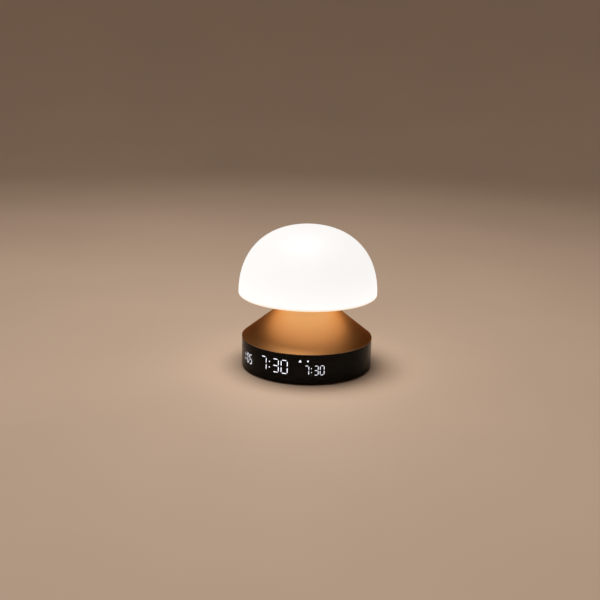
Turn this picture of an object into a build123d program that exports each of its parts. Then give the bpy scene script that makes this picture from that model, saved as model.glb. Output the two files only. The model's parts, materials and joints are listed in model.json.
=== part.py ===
from build123d import *
from math import asin, cos, degrees, radians, sin, sqrt, tan
import os

# Bedside sunrise alarm clock. An opal dome presses down on a spring above a metal cone, and
# a smoked band round the base hides three seven-segment displays. Millimetres, +Z up, the
# front faces -Y, and the origin is on the table under the centre of the base.
# A heading is an angle in degrees from the front (-Y) towards +X.

# ---------------------------------------------------------------- driving dimensions

# fits
slip = 0.2            # between pieces that stay still
running = 0.3         # round a piece that moves
thread_gap = 0.05     # between a screw and its hole

# smoked band
band_radius = 60.0
band_wall = 2.0
band_lift = 1.2       # lower edge above the table
band_height = 26.6
band_edge_round = 1.0
rebate_step = 0.6     # inside the lower edge, round the cover's flange
window_wall = 0.8     # what is left of the wall in front of the displays

# metal cone and neck
lip_height = 0.6
lip_chamfer = 0.3
cone_slope = 38.8     # degrees above the table
cone_wall = 2.0
spigot_depth = 1.6
spigot_wall = 1.5
neck_radius = 23.0
neck_wall = 2.0
neck_blend = 8.0
ledge_width = 1.6     # that the dome's hooks catch under
ledge_rise = 0.6      # above the inside of the cone

# opal dome
dome_radius = 63.4
dome_wall = 2.0
dome_rim_height = 67.2
dome_rise = 61.75     # from the widest line to the top
dome_fullness = 0.618  # 0.552 would be an ellipse, more is squarer
rim_drop = 2.5
rim_reach = 5.0
rim_ledge = 1.5
round_pull = 0.552    # Bezier pull of a quarter circle
floor_wall = 1.5
floor_boss_height = 3.0
floor_pilot_floor = 0.6
floor_gap = 1.2       # round the neck

# dome carrier and its spring
dome_travel = 1.0
carrier_wall = 2.0
carrier_flange_radius = 32.0
hook_reach = 1.5
hook_height = 1.9
hook_angle = 40.0
finger_drop = 3.5     # the whole sleeve ends this far above the ledge
spring_flange = 1.5
spring_wire = 1.0
spring_radius = 15.2
spring_turns = 5
spring_sides = 12     # of the wire's section
spring_length = 18.0
foot_angle = 15.0

# neck frame and lamp post
frame_wall = 2.0
frame_margin = 5.5    # to the inside of the cone
frame_boss_inset = 4.0
socket_wall = 1.6
socket_height = 5.0
frame_hole = 7.5      # for the lamp's lead
frame_rim = 3.0
post_radius = 12.5
post_wall = 2.0
post_height = 36.0
lead_hole = 3.0
lamp_board_radius = 17.0
lamp_board_wall = 1.6
lamp_screw_gap = 0.5  # from a screw's head to the post's wall
lamp_led_size = 3.2
lamp_led_height = 0.8
lamp_led_count = 12

# bottom cover and feet
cover_recess = 0.4
cover_wall = 1.8
foot_radius = 5.0
foot_pocket = 0.8
foot_inset = 9.0      # foot centre in from the band's outside
post_edge = 4.1       # base screws, in from the main board's edge
post_gap = 0.5        # from a post to the end of the cell's cradle
boss_radius = 3.5
base_screw_radius = 1.5
base_screw_length = 27.0
screw_head_radius = 2.5
screw_head_height = 2.0
counterbore_depth = 4.0
rib_width = 3.0       # of the ribs that hold the rear board
rib_inset = 2.0       # in from the rear board's ends
rib_rise = 4.0        # up the rear board's edge
speaker_boss_radius = 1.9
speaker_pilot_floor = 1.0

# small screws
small_screw_radius = 1.0
small_head_radius = 1.9
small_head_height = 1.2
small_screw_length = 4.0
small_boss_radius = 2.8
screw_tip_gap = 0.5

# main board
board_wall = 1.6
board_drop = 2.8      # underside, below the band's top edge
board_margin = 2.8    # to the display frame
chip_circle = 27.0    # radius of the circle that the chips sit on
chip_height = 1.2
processor_size = 9.0
memory_size = 6.0
shield_size = 13.0
coil_size = 6.5
capacitor_radius = 3.0
capacitor_height = 6.0

# lithium cell, a standard 18650
cell_radius = 9.25
cell_length = 65.0
cell_nub_radius = 2.8
cell_nub_height = 1.5
cell_corner_gap = 3.0  # from the cradle's front corners to the display frame
cell_lift = 1.0
cradle_wall = 1.0
cradle_height = 8.5
cradle_foot_width = 3.0
cradle_foot_depth = 16.4
cradle_foot_drop = 2.0  # top of a foot, below the cell's axis
contact_wall = 0.8
contact_width = 9.25
contact_height = 10.0

# speaker
speaker_offset = 14.0  # behind the centre
speaker_radius = 20.0
speaker_height = 12.5
gasket_wall = 0.6
speaker_flange_wall = 1.0
basket_wall = 0.8
magnet_radius = 11.0
magnet_height = 6.0
magnet_plate = 1.5
basket_seat = 2.0     # that the magnet sits on
basket_rise = 2.5     # of the basket's upright wall
coil_radius = 6.6
coil_wall = 0.6
coil_gap = 0.5
coil_stand = 1.5      # dust cap, in from the magnet's face
cone_rim_radius = 14.4
cone_paper = 0.5
cone_travel = 0.4
surround_width = 2.7
surround_bond = 1.3   # that lies on the flange
surround_edge = 0.4
surround_roll = 1.2
speaker_screw_gap = 0.2
speaker_screw_length = 2.0
grille_slot = 2.0
grille_pitch = 4.0
grille_slots = 7

# displays
digit_depth = 1.75    # of a segment lens
digit_setback = 0.1   # middle of a flat digit, in from the mask's round face
mask_wall = 2.6
mask_low = 4.8        # mask's lower edge above the band's
mask_height = 18.6
mask_margin = 1.3
bar_gap = 0.3
time_middle = 15.55
time_digit_height = 13.3
time_digit_width = 7.1
time_stroke = 1.35
time_pitch = 8.4
time_colon_room = 5.7  # between the digits beside the colon
small_middle = 13.7
small_digit_height = 9.3
small_digit_width = 4.5
small_stroke = 0.95
small_pitch = 5.35
small_colon_room = 3.8
alarm_offset = 39.2    # along the band from the middle of the time
date_offset = -34.86
icon_middle = 22.2
bell_size = 3.1
bell_offset = 29.1
sun_size = 2.1
sun_offset = 35.9
display_board_wall = 0.8
display_led_height = 0.5
display_led_size = 0.8
display_frame_wall = 1.5
display_frame_lap = 1.5  # degrees past the masks
ribbon_width = 8.0
ribbon_wall = 0.3
ribbon_drop = 3.5     # below the main board
ribbon_slot_gap = 1.5

# rear buttons, key switches and socket
button_pitch = 9.0
button_count = 5
button_middle = 19.5
button_width = 6.8
button_height = 3.5
button_proud = 0.4
button_travel = 0.5
button_flange_wall = 1.2
button_flange_rim = 0.8
button_round = 0.25
stem_width = 3.6
stem_height = 2.4
key_size = 6.0
key_height = 3.5
key_floor = 0.5
key_plunger_radius = 1.75
key_plunger_reach = 0.8
rear_board_inset = 11.0  # face, in from the band's inside
rear_board_width = 48.0
rear_board_low = 5.0
socket_middle = 9.5
socket_width = 8.94
socket_thickness = 3.26
socket_skin = 0.3
socket_recess = 0.4   # mouth inside the band's outer face
plug_depth = 6.7
tongue_width = 6.7
tongue_thickness = 0.7
tongue_recess = 1.0

# inner leads
lead_radius = 0.7
lead_bend = 4.0
lead_rise = 6.0       # of the straight run that leaves a connector or a hole
connector_width = 5.0
connector_depth = 4.0
connector_height = 4.0
lamp_lead_gap = 1.8   # from the lamp's lead to the frame's hole
battery_lead_inset = 4.5  # in from the cell's end
battery_lead_gap = 6.0    # behind the cradle
speaker_connector_x = 26.0

# ---------------------------------------------------------------- places worked out

band_top = band_lift + band_height
band_inner = band_radius - band_wall
cone_foot = band_top + lip_height
cover_low = band_lift + cover_recess
cover_top = cover_low + cover_wall
slope = tan(radians(cone_slope))
cone_wall_upright = cone_wall / cos(radians(cone_slope))


def cone_inside(radius):
    """Height of the inside of the cone at a radius."""
    return cone_foot + (band_radius - radius) * slope - cone_wall_upright


def cone_inside_radius(height):
    """Radius of the inside of the cone at a height."""
    return band_radius - (height + cone_wall_upright - cone_foot) / slope


neck_bore = neck_radius - neck_wall
ledge_radius = neck_bore + ledge_width
ledge_height = cone_inside(ledge_radius) + ledge_rise
widest_height = dome_rim_height + rim_drop
flange_low = dome_rim_height + floor_boss_height
neck_top = flange_low - dome_travel - 2 * running

sleeve_outer = neck_bore - running
sleeve_inner = sleeve_outer - carrier_wall
sleeve_low = ledge_height + finger_drop
frame_top = sleeve_low - spring_length
frame_low = frame_top - frame_wall
frame_radius = cone_inside_radius(frame_top) - frame_margin
frame_boss_circle = frame_radius - frame_boss_inset
post_top = frame_top + post_height
lamp_connector_x = frame_hole - lamp_lead_gap - lead_radius
key_offset = spring_radius + spring_wire / 2 + running + key_size / 2

board_low = band_top - board_drop
board_top = board_low + board_wall
mask_outer = band_radius - window_wall - slip
lens_face = mask_outer - digit_setback
alarm_heading = degrees(alarm_offset / lens_face)
date_heading = degrees(date_offset / lens_face)
bell_heading = degrees(bell_offset / lens_face)
sun_heading = degrees(sun_offset / lens_face)
mask_inner = mask_outer - mask_wall
display_board_outer = mask_inner - slip / 2
display_frame_outer = display_board_outer - display_board_wall - slip / 2
display_frame_inner = display_frame_outer - display_frame_wall
mask_bottom = band_lift + mask_low
mask_top = mask_bottom + mask_height
board_radius = display_frame_inner - board_margin
post_circle = board_radius - post_edge
cradle_length = cell_length + 2 * (contact_wall + cradle_wall + slip)
cell_middle = cover_top + cell_lift + cell_radius
cell_offset = (
    sqrt((display_frame_inner - cell_corner_gap) ** 2 - (cradle_length / 2) ** 2)
    - cell_radius
    - cell_lift
)
battery_connector_x = cell_length / 2 - battery_lead_inset
gasket_top = cover_top + gasket_wall
speaker_flange_top = gasket_top + speaker_flange_wall
speaker_top = gasket_top + speaker_height
magnet_low = speaker_top - magnet_height
rear_board_face = band_inner - rear_board_inset
key_top = rear_board_face + key_height
plunger_top = key_top + key_plunger_reach
post_heading = degrees(asin((cradle_length / 2 + post_gap + boss_radius) / post_circle))
post_headings = [post_heading, 180 - post_heading, 180 + post_heading, -post_heading]


# ---------------------------------------------------------------- helpers

def at_heading(heading, radius):
    """Point on the table at a heading and radius."""
    return radius * sin(radians(heading)), -radius * cos(radians(heading))


def turned(points, rounds=()):
    """Solid turned about Z from (radius, height) points, with some corners rounded."""
    outline = make_face(Polyline(*points, close=True))
    for corner, radius in rounds:
        vertex = outline.vertices().sort_by_distance(corner)[0]
        outline = fillet(vertex, radius)
    return revolve(Plane.XZ * outline, Axis.Z)


def tube(outer, inner, low, high):
    """Upright tube about Z, or a disc with no hole where inner is 0."""
    disc = Circle(outer) - Circle(inner) if inner else Circle(outer)
    return Pos(0, 0, low) * extrude(disc, high - low)


def rod(x, y, radius, low, high):
    """Upright round rod at a place."""
    return Pos(x, y, low) * extrude(Circle(radius), high - low)


def block(x, y, width, depth, low, high):
    """Upright box centred on a place."""
    return Pos(x, y, (low + high) / 2) * Box(width, depth, high - low)


def arc_wall(inner, outer, start, end, low, high):
    """Part of a round wall between two headings."""
    near = CenterArc((0, 0), inner, start - 90, end - start)
    far = CenterArc((0, 0), outer, start - 90, end - start)
    ends = [Line(near @ 0, far @ 0), Line(near @ 1, far @ 1)]
    return Pos(0, 0, low) * extrude(make_face([near, far] + ends), high - low, dir=(0, 0, 1))


def facing(heading, distance, height):
    """Plane that faces outwards at a heading, with x to the viewer's right and y up."""
    turn = radians(heading)
    out = Vector(sin(turn), -cos(turn), 0)
    return Plane(out * distance + Vector(0, 0, height), x_dir=(cos(turn), sin(turn), 0), z_dir=out)


def rear_prism(x, height, outline, near, far):
    """Outline facing backwards at a place, carried from one depth to another."""
    plane = Plane((x, near, height), x_dir=(1, 0, 0), z_dir=(0, 1, 0))
    return extrude(plane * outline, far - near, dir=(0, 1, 0))


def screw(x, y, seat, length, head_up=True, radius=None, head=None, head_height=None):
    """Pan-head screw whose head rests on the seat height."""
    radius = radius or small_screw_radius
    head = head or small_head_radius
    head_height = head_height or small_head_height
    way = 1 if head_up else -1
    cap = Pos(x, y, seat + way * head_height / 2) * Cylinder(head, head_height)
    shank = Pos(x, y, seat - way * length / 2) * Cylinder(radius, length)
    return cap + shank


def lead(points, bends, radius=None):
    """Round lead along straight runs joined by arcs."""
    path = FilletPolyline(*points, radius=bends)
    return sweep(Plane(path @ 0, z_dir=path % 0) * Circle(radius or lead_radius), path)


# ---------------------------------------------------------------- displays

def bar(x, y, length, stroke, upright):
    """One bar of a digit, with pointed ends."""
    half, tip = length / 2, stroke / 2
    points = [(-half, 0), (tip - half, tip), (half - tip, tip)]
    points += [(half, 0), (half - tip, -tip), (tip - half, -tip)]
    return Pos(x, y) * Rot(0, 0, 90 if upright else 0) * Polygon(*points, align=None)


def digit(width, height, stroke):
    """The seven bars of a digit, flat."""
    side, top = (width - stroke) / 2, (height - stroke) / 2
    level = [bar(0, y, 2 * side - bar_gap, stroke, False) for y in (top, 0, -top)]
    upright = [bar(x, y, top - bar_gap, stroke, True) for x in (-side, side) for y in (-top / 2, top / 2)]
    return level + upright


def windows(heading, middle, width, height, stroke, pitch, colon_room):
    """Every window of a four-digit display, as (heading, middle, outline)."""
    inner = (colon_room + width) / 2
    found = []
    for offset in (-inner - pitch, -inner, inner, inner + pitch):
        digit_heading = heading + degrees(offset / lens_face)
        found += [(digit_heading, middle, shape) for shape in digit(width, height, stroke)]
    for y in (-0.195 * height, 0.195 * height):
        found.append((heading, middle, Pos(0, y) * Circle(0.6 * stroke)))
    return found


def window_solids(found, near, far):
    """Each window carried outwards from one distance to another."""
    return [
        extrude(facing(heading, near, middle) * shape, far - near, dir=facing(heading, near, middle).z_dir)
        for heading, middle, shape in found
    ]


def half_span(width, pitch, colon_room):
    """Half of a mask's width, in degrees."""
    return degrees((colon_room / 2 + width + pitch + mask_margin) / mask_outer)


def mask(heading, span, found):
    """Curved light mask with a well for each window."""
    plate = arc_wall(mask_inner, mask_outer, heading - span, heading + span, mask_bottom, mask_top)
    return plate - window_solids(found, mask_inner - 1, band_radius)


def lenses(found):
    """The lenses that fill the front of the wells."""
    return Compound(window_solids(found, lens_face - digit_depth, lens_face))


time_windows = windows(
    0, time_middle, time_digit_width, time_digit_height, time_stroke, time_pitch, time_colon_room
)
small_digits = small_digit_width, small_digit_height, small_stroke, small_pitch, small_colon_room
alarm_windows = windows(alarm_heading, small_middle, *small_digits)
date_windows = windows(date_heading, small_middle, *small_digits)
time_span = half_span(time_digit_width, time_pitch, time_colon_room)
small_span = half_span(small_digit_width, small_pitch, small_colon_room)
display_start = date_heading - small_span
display_end = alarm_heading + small_span


def icon_windows():
    """A bell and a sun above the alarm time."""
    half = bell_size / 2
    shoulder = 0.45 * half, 0.5 * half
    crown = [shoulder, (0, half), (-shoulder[0], shoulder[1])]
    bell = Polygon((-half, -half), (half, -half), *crown, align=None)
    sun = Circle(sun_size / 2)
    return [(bell_heading, icon_middle, bell), (sun_heading, icon_middle, sun)]


def display_board():
    """Curved board behind the masks."""
    inner = display_board_outer - display_board_wall
    return arc_wall(inner, display_board_outer, display_start, display_end, mask_bottom, mask_top)


def display_leds():
    """One LED at the back of each well."""
    found = time_windows + alarm_windows + date_windows + icon_windows()
    low = display_board_outer + slip / 4
    chips = []
    for heading, middle, shape in found:
        place = facing(heading, low + display_led_height / 2, middle) * Pos(shape.center())
        chips.append(place * Box(display_led_size, display_led_size, display_led_height))
    return Compound(chips)


def display_frame():
    """Channel that stands on the cover and holds the masks and their board to the band."""
    start, end = display_start - display_frame_lap, display_end + display_frame_lap
    reach = band_inner - running
    high = band_top - spigot_depth - slip
    frame = arc_wall(display_frame_inner, display_frame_outer, start, end, cover_top, high)
    frame += arc_wall(display_frame_inner, reach, start, end, cover_top, mask_bottom - slip)
    frame += arc_wall(display_frame_inner, reach, start, end, mask_top + slip, high)
    slot_low = board_low - ribbon_drop - ribbon_slot_gap
    slot_high = board_low - ribbon_drop + ribbon_slot_gap
    slot_width = ribbon_width + 2 * ribbon_slot_gap
    slot_depth = 6 * display_frame_wall
    return frame - block(0, -display_frame_inner, slot_width, slot_depth, slot_low, slot_high)


def display_ribbon():
    """Flat ribbon from the display board to its connector on the main board."""
    near = sqrt((display_board_outer - display_board_wall) ** 2 - (ribbon_width / 2) ** 2)
    far = board_radius - connector_depth / 2
    low = board_low - ribbon_drop
    return block(0, -(near + far) / 2, ribbon_width, near - far, low, low + ribbon_wall)


# ---------------------------------------------------------------- band, cone and cover

def band_blank():
    """The band turned to shape, before its windows and holes."""
    return turned(
        [
            (band_inner + rebate_step, band_lift),
            (band_radius, band_lift),
            (band_radius, band_top),
            (band_inner, band_top),
            (band_inner, cover_top),
            (band_inner + rebate_step, cover_top),
        ],
        [((band_radius, band_lift), band_edge_round)],
    )


def display_ring():
    """Smoked band, thinned inside the displays, with button and socket holes behind."""
    margin = degrees(slip / band_inner)
    pocket = arc_wall(
        band_inner - 1, band_radius - window_wall,
        display_start - margin, display_end + margin,
        mask_bottom - slip, mask_top + slip,
    )
    ring = band_blank() - pocket
    hole = SlotOverall(button_width + 2 * running, button_height + 2 * running)
    for x in button_places():
        ring -= rear_prism(x, button_middle, hole, rear_board_face, band_radius + 5)
    mouth = SlotOverall(socket_width + 2 * slip, socket_thickness + 2 * slip)
    return ring - rear_prism(0, socket_middle, mouth, rear_board_face, band_radius + 5)


def cone_body():
    """Metal cone with its neck, hook ledge, and the bosses for both sets of screws."""
    neck_corner = (neck_radius, cone_foot + (band_radius - neck_radius) * slope)
    straight = neck_top - neck_corner[1]
    blend = min(neck_blend, 0.95 * straight / tan(radians(45 - cone_slope / 2)))
    spigot_outer = band_inner - running
    spigot_inner = spigot_outer - spigot_wall
    shell = turned(
        [
            (spigot_inner, band_top - spigot_depth),
            (spigot_outer, band_top - spigot_depth),
            (spigot_outer, band_top),
            (band_radius - lip_chamfer, band_top),
            (band_radius, band_top + lip_chamfer),
            (band_radius, cone_foot),
            neck_corner,
            (neck_radius, neck_top),
            (neck_bore, neck_top),
            (neck_bore, ledge_height),
            (ledge_radius, ledge_height),
            (ledge_radius, cone_inside(ledge_radius)),
            (spigot_inner, cone_inside(spigot_inner)),
        ],
        [(neck_corner, blend)],
    )
    inside = turned(
        [
            (0, board_top),
            (spigot_inner, board_top),
            (spigot_inner, cone_inside(spigot_inner) + cone_wall / 2),
            (0, cone_inside(0) + cone_wall / 2),
        ]
    )
    for heading in post_headings:
        x, y = at_heading(heading, post_circle)
        boss = rod(x, y, boss_radius, board_top, neck_top) & inside
        pilot = rod(x, y, base_screw_radius + thread_gap, board_top - 1, base_screw_tip() + 1)
        shell = shell + boss - pilot
    for heading in frame_headings():
        x, y = at_heading(heading, frame_boss_circle)
        boss = rod(x, y, small_boss_radius, frame_top, neck_top) & inside
        pilot = rod(x, y, small_screw_radius + thread_gap, frame_top - 1, frame_top + small_screw_length)
        shell = shell + boss - pilot
    return shell


def base_screw_tip():
    """Height of the top end of a base screw."""
    return cover_low + counterbore_depth + base_screw_length


def frame_headings():
    """Headings of the neck frame's screws, clear of the dome switch at the back."""
    return [0, 120, 240]


def bottom_cover():
    """Base plate with screw posts, foot pockets, speaker grille and board slots."""
    cover = tube(band_inner + rebate_step - slip, 0, cover_low, cover_top)
    for heading in post_headings:
        x, y = at_heading(heading, post_circle)
        cover += rod(x, y, boss_radius, cover_top, board_low)
        cover -= rod(x, y, base_screw_radius + thread_gap, cover_low, board_low)
        cover -= rod(x, y, screw_head_radius + slip, cover_low, cover_low + counterbore_depth)
    for x, y in foot_places():
        cover -= rod(x, y, foot_radius + slip / 2, cover_low, cover_low + foot_pocket)
    for x, y in speaker_screw_places():
        pilot_low = cover_low + speaker_pilot_floor
        cover += rod(x, y, speaker_boss_radius, cover_top, speaker_flange_top)
        cover -= rod(x, y, small_screw_radius + thread_gap, pilot_low, speaker_flange_top)
    for number in range(grille_slots):
        across = (number - (grille_slots - 1) / 2) * grille_pitch
        length = 2 * sqrt((cone_rim_radius + 1) ** 2 - across**2)
        slot = SlotOverall(length, grille_slot)
        cover -= Pos(0, speaker_offset + across, cover_low) * extrude(slot, cover_wall)
    board_middle = rear_board_face - board_wall / 2
    for side in (-1, 1):
        x, depth = side * (rear_board_width / 2 - rib_inset), board_wall + rib_width
        rib = block(x, board_middle, rib_width, depth, cover_top, rear_board_low + rib_rise)
        cover += rib - block(x, board_middle, 3 * rib_width, board_wall + slip, rear_board_low, board_low)
    return cover


def foot_places():
    """Centres of the four feet."""
    return [at_heading(heading, band_radius - foot_inset) for heading in (0, 90, 180, 270)]


def rubber_feet():
    """Four pads in the cover's pockets."""
    top = cover_low + foot_pocket
    return Compound([rod(x, y, foot_radius, 0, top) for x, y in foot_places()])


def base_screws():
    """Four long screws from below, through the posts and the main board into the cone."""
    seat = cover_low + counterbore_depth
    size = base_screw_radius, screw_head_radius, screw_head_height
    places = [at_heading(heading, post_circle) for heading in post_headings]
    return Compound([screw(x, y, seat, base_screw_length, False, *size) for x, y in places])


# ---------------------------------------------------------------- dome

def dome_curve(radius, foot, top):
    """Quarter outline of the dome from its widest line to its top."""
    pull = foot + dome_fullness * (top - foot)
    return Bezier((radius, foot), (radius, pull), (dome_fullness * radius, top), (0, top))


def dome_shell():
    """Opal shell with a rounded lower edge and a ledge for the floor."""
    rim_inner = dome_radius - rim_reach
    ledge_low = dome_rim_height + floor_wall
    ledge_high = ledge_low + floor_wall
    inner_radius = dome_radius - dome_wall
    top = widest_height + dome_rise
    outer = dome_curve(dome_radius, widest_height, top)
    inner = dome_curve(inner_radius, ledge_high, top - dome_wall)
    rim = Bezier(
        (rim_inner, dome_rim_height),
        (rim_inner + round_pull * rim_reach, dome_rim_height),
        (dome_radius, widest_height - round_pull * rim_drop),
        (dome_radius, widest_height),
    )
    steps = Polyline(
        (rim_inner, dome_rim_height),
        (rim_inner, ledge_low),
        (rim_inner - rim_ledge, ledge_low),
        (rim_inner - rim_ledge, ledge_high),
        (inner_radius, ledge_high),
    )
    crown = Line((0, top - dome_wall), (0, top))
    return revolve(Plane.XZ * make_face([outer, rim, inner, crown] + steps.edges()), Axis.Z)


def carrier_screw_places():
    """Centres of the screws through the carrier's flange."""
    middle = (neck_radius + floor_gap + carrier_flange_radius) / 2
    return [at_heading(heading, middle) for heading in (60, 180, 300)]


def dome_floor():
    """Opal plate that closes the dome, thicker round the neck where the carrier is screwed."""
    hole = neck_radius + floor_gap
    plate = turned(
        [
            (hole, dome_rim_height),
            (dome_radius - rim_reach - slip / 2, dome_rim_height),
            (dome_radius - rim_reach - slip / 2, dome_rim_height + floor_wall),
            (carrier_flange_radius, dome_rim_height + floor_wall),
            (carrier_flange_radius, flange_low),
            (hole, flange_low),
        ]
    )
    pilot_low = dome_rim_height + floor_pilot_floor
    for x, y in carrier_screw_places():
        plate -= rod(x, y, small_screw_radius + thread_gap, pilot_low, flange_low)
    return plate


def dome_carrier():
    """Sleeve that slides in the neck, with snap hooks, a spring flange and a switch foot."""
    flange_high = flange_low + carrier_wall
    hook_top = ledge_height - running
    hook_low = hook_top - hook_height
    guide = post_radius + 2 * slip
    sleeve = turned(
        [
            (sleeve_inner, sleeve_low + spring_flange),
            (guide, sleeve_low + spring_flange),
            (guide, sleeve_low),
            (sleeve_outer, sleeve_low),
            (sleeve_outer, flange_low),
            (carrier_flange_radius, flange_low),
            (carrier_flange_radius, flange_high),
            (sleeve_inner, flange_high),
        ]
    )
    hooked = [
        (sleeve_inner, hook_low),
        (sleeve_outer, hook_low),
        (sleeve_outer + hook_reach, hook_low + hook_reach),
        (sleeve_outer + hook_reach, hook_top),
        (sleeve_outer, hook_top),
        (sleeve_outer, sleeve_low),
        (sleeve_inner, sleeve_low),
    ]
    hook_ring = turned(hooked)
    for heading in (0, 120, 240):
        start, end = heading - hook_angle / 2, heading + hook_angle / 2
        sleeve += hook_ring & arc_wall(sleeve_inner - 1, ledge_radius, start, end, hook_low, sleeve_low)
    start, end = 180 - foot_angle / 2, 180 + foot_angle / 2
    sleeve += arc_wall(sleeve_inner, sleeve_outer, start, end, key_plunger_top(), sleeve_low + 1)
    for x, y in carrier_screw_places():
        sleeve -= rod(x, y, small_screw_radius + thread_gap, flange_low, flange_high)
    return sleeve


def carrier_screws():
    """Three screws that hold the floor to the carrier."""
    seat = flange_low + carrier_wall
    return Compound([screw(x, y, seat, small_screw_length) for x, y in carrier_screw_places()])


def dome_spring():
    """Return spring round the post's socket."""
    seat = spring_wire / 2 + slip / 2
    pitch = (spring_length - 2 * seat) / spring_turns
    starts = [frame_top + seat + turn * pitch for turn in range(spring_turns)]
    path = Wire([Helix(pitch, pitch, spring_radius, center=(0, 0, start)) for start in starts])
    section = Plane(path @ 0, z_dir=path % 0) * RegularPolygon(spring_wire / 2, spring_sides)
    return sweep(section, path, is_frenet=True)


def key_plunger_top():
    """Top of the dome switch's plunger, where the carrier's foot meets it."""
    return frame_top + key_height + 1.5 * dome_travel


def dome_switch():
    """Switch body on the neck frame, with the well that its plunger sinks in."""
    top, well = frame_top + key_height, key_plunger_radius + running / 2
    body = block(0, key_offset, key_size, key_size, frame_top, top)
    return body - rod(0, key_offset, well, frame_top + key_floor, top)


def dome_switch_plunger():
    """Plunger that the carrier's foot presses."""
    low = frame_top + key_floor + dome_travel + running
    return rod(0, key_offset, key_plunger_radius, low, key_plunger_top())


# ---------------------------------------------------------------- neck frame and lamp

def neck_frame():
    """Plate across the cone that carries the lamp post, the spring and the dome switch."""
    frame = tube(frame_radius, frame_hole, frame_low, frame_top)
    bore = post_radius + thread_gap
    frame += tube(bore + socket_wall, bore, frame_top, frame_top + socket_height)
    for heading in frame_headings():
        x, y = at_heading(heading, frame_boss_circle)
        frame -= rod(x, y, small_screw_radius + thread_gap, frame_low, frame_top)
    return frame + tube(frame_radius, frame_radius - frame_wall, frame_low - frame_rim, frame_low)


def neck_screws():
    """Three screws from below into the cone's inner bosses."""
    places = [at_heading(heading, frame_boss_circle) for heading in frame_headings()]
    length = small_screw_length + frame_wall - screw_tip_gap
    return Compound([screw(x, y, frame_low, length, False) for x, y in places])


def lamp_screw_places():
    """Centres of the screws through the lamp board."""
    circle = post_radius - post_wall - small_head_radius - lamp_screw_gap
    return [at_heading(heading, circle) for heading in (60, 180, 300)]


def led_post():
    """Metal tube with a closed top that carries the lamp board and takes its heat."""
    post = tube(post_radius, post_radius - post_wall, frame_top, post_top - post_wall)
    post += tube(post_radius, lead_hole, post_top - post_wall, post_top)
    for x, y in lamp_screw_places():
        post -= rod(x, y, small_screw_radius + thread_gap, post_top - post_wall, post_top)
    return post


def led_board():
    """Round lamp board on top of the post."""
    board = tube(lamp_board_radius, 0, post_top, post_top + lamp_board_wall)
    for x, y in lamp_screw_places():
        board -= rod(x, y, small_screw_radius + thread_gap, post_top, post_top + lamp_board_wall)
    return board


def led_board_screws():
    """Three screws that clamp the lamp board to the post."""
    seat = post_top + lamp_board_wall
    length = lamp_board_wall + post_wall - screw_tip_gap
    return Compound([screw(x, y, seat, length) for x, y in lamp_screw_places()])


def led_emitters():
    """Ring of LEDs near the lamp board's edge."""
    seat = post_top + lamp_board_wall
    circle = lamp_board_radius - lamp_led_size
    chips = []
    for number in range(lamp_led_count):
        place = Rot(0, 0, 360 * number / lamp_led_count) * Pos(circle, 0, seat + lamp_led_height / 2)
        chips.append(place * Box(lamp_led_size, lamp_led_size, lamp_led_height))
    return Compound(chips)


# ---------------------------------------------------------------- boards and cell

def main_board():
    """Round main board, clamped between the cover's posts and the cone's bosses."""
    board = tube(board_radius, 0, board_low, board_top)
    for heading in post_headings:
        x, y = at_heading(heading, post_circle)
        board -= rod(x, y, base_screw_radius + slip, board_low, board_top)
    return board


def board_chips():
    """Processor, memory, radio shield, charge coil and capacitor on top of the main board."""
    squares = [
        (310, processor_size, chip_height),
        (280, memory_size, chip_height),
        (45, shield_size, 2 * chip_height),
        (120, coil_size, 3 * chip_height),
    ]
    chips = []
    for heading, size, height in squares:
        x, y = at_heading(heading, chip_circle)
        chips.append(block(x, y, size, size, board_top, board_top + height))
    x, y = at_heading(160, chip_circle)
    chips.append(rod(x, y, capacitor_radius, board_top, board_top + capacitor_height))
    return Compound(chips)


def board_connectors():
    """Lead, ribbon and header connectors on both faces of the main board."""
    low = board_low - connector_height
    header = rear_board_face - board_wall
    size = connector_width, connector_depth
    return Compound(
        [
            block(lamp_connector_x, 0, *size, board_top, board_top + connector_height),
            block(battery_connector_x, battery_connector_y(), *size, low, board_low),
            block(speaker_connector_x, speaker_offset, *size, low, board_low),
            block(0, connector_depth - board_radius, ribbon_width + 1, connector_depth, low, board_low),
            block(0, header - connector_depth / 2, 3 * connector_width, connector_depth, low, board_low),
        ]
    )


def battery_connector_y():
    """Middle of the battery connector, behind the cradle."""
    return cell_radius + cell_lift - cell_offset + battery_lead_gap


def battery_cell():
    """Cylindrical lithium cell lying across the front of the base."""
    can = cell_length - cell_nub_height
    body = Pos(-cell_nub_height / 2, -cell_offset, cell_middle) * Rot(0, 90, 0) * Cylinder(cell_radius, can)
    nub = Pos((can - 1) / 2, -cell_offset, cell_middle) * Rot(0, 90, 0)
    return body + nub * Cylinder(cell_nub_radius, cell_nub_height + 1)


def battery_cradle():
    """Half pipe that the cell lies in, with end walls and two feet on the cover."""
    top = cover_top + cradle_height
    axis = Pos(0, -cell_offset, cell_middle) * Rot(0, 90, 0)
    bed = axis * Cylinder(cell_radius + thread_gap, cradle_length - 2 * cradle_wall)
    pipe = axis * Cylinder(cell_radius + cell_lift, cradle_length)
    cradle = pipe & block(0, -cell_offset, cradle_length, 2 * cell_radius + 2 * cell_lift, cover_top, top)
    for side in (-1, 1):
        x, foot_top = side * cradle_length / 3, cell_middle - cradle_foot_drop
        cradle += block(x, -cell_offset, cradle_foot_width, cradle_foot_depth, cover_top, foot_top)
    return cradle - bed


def battery_contacts():
    """Spring plates at the ends of the cell."""
    low, high = cell_middle - contact_height / 2, cell_middle + contact_height / 2
    places = [side * (cell_length + contact_wall) / 2 for side in (-1, 1)]
    return Compound([block(x, -cell_offset, contact_wall, contact_width, low, high) for x in places])


def rear_board():
    """Upright board behind the band's rear holes."""
    middle, top = rear_board_face - board_wall / 2, board_low - slip
    return block(0, middle, rear_board_width, board_wall, rear_board_low, top)


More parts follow.
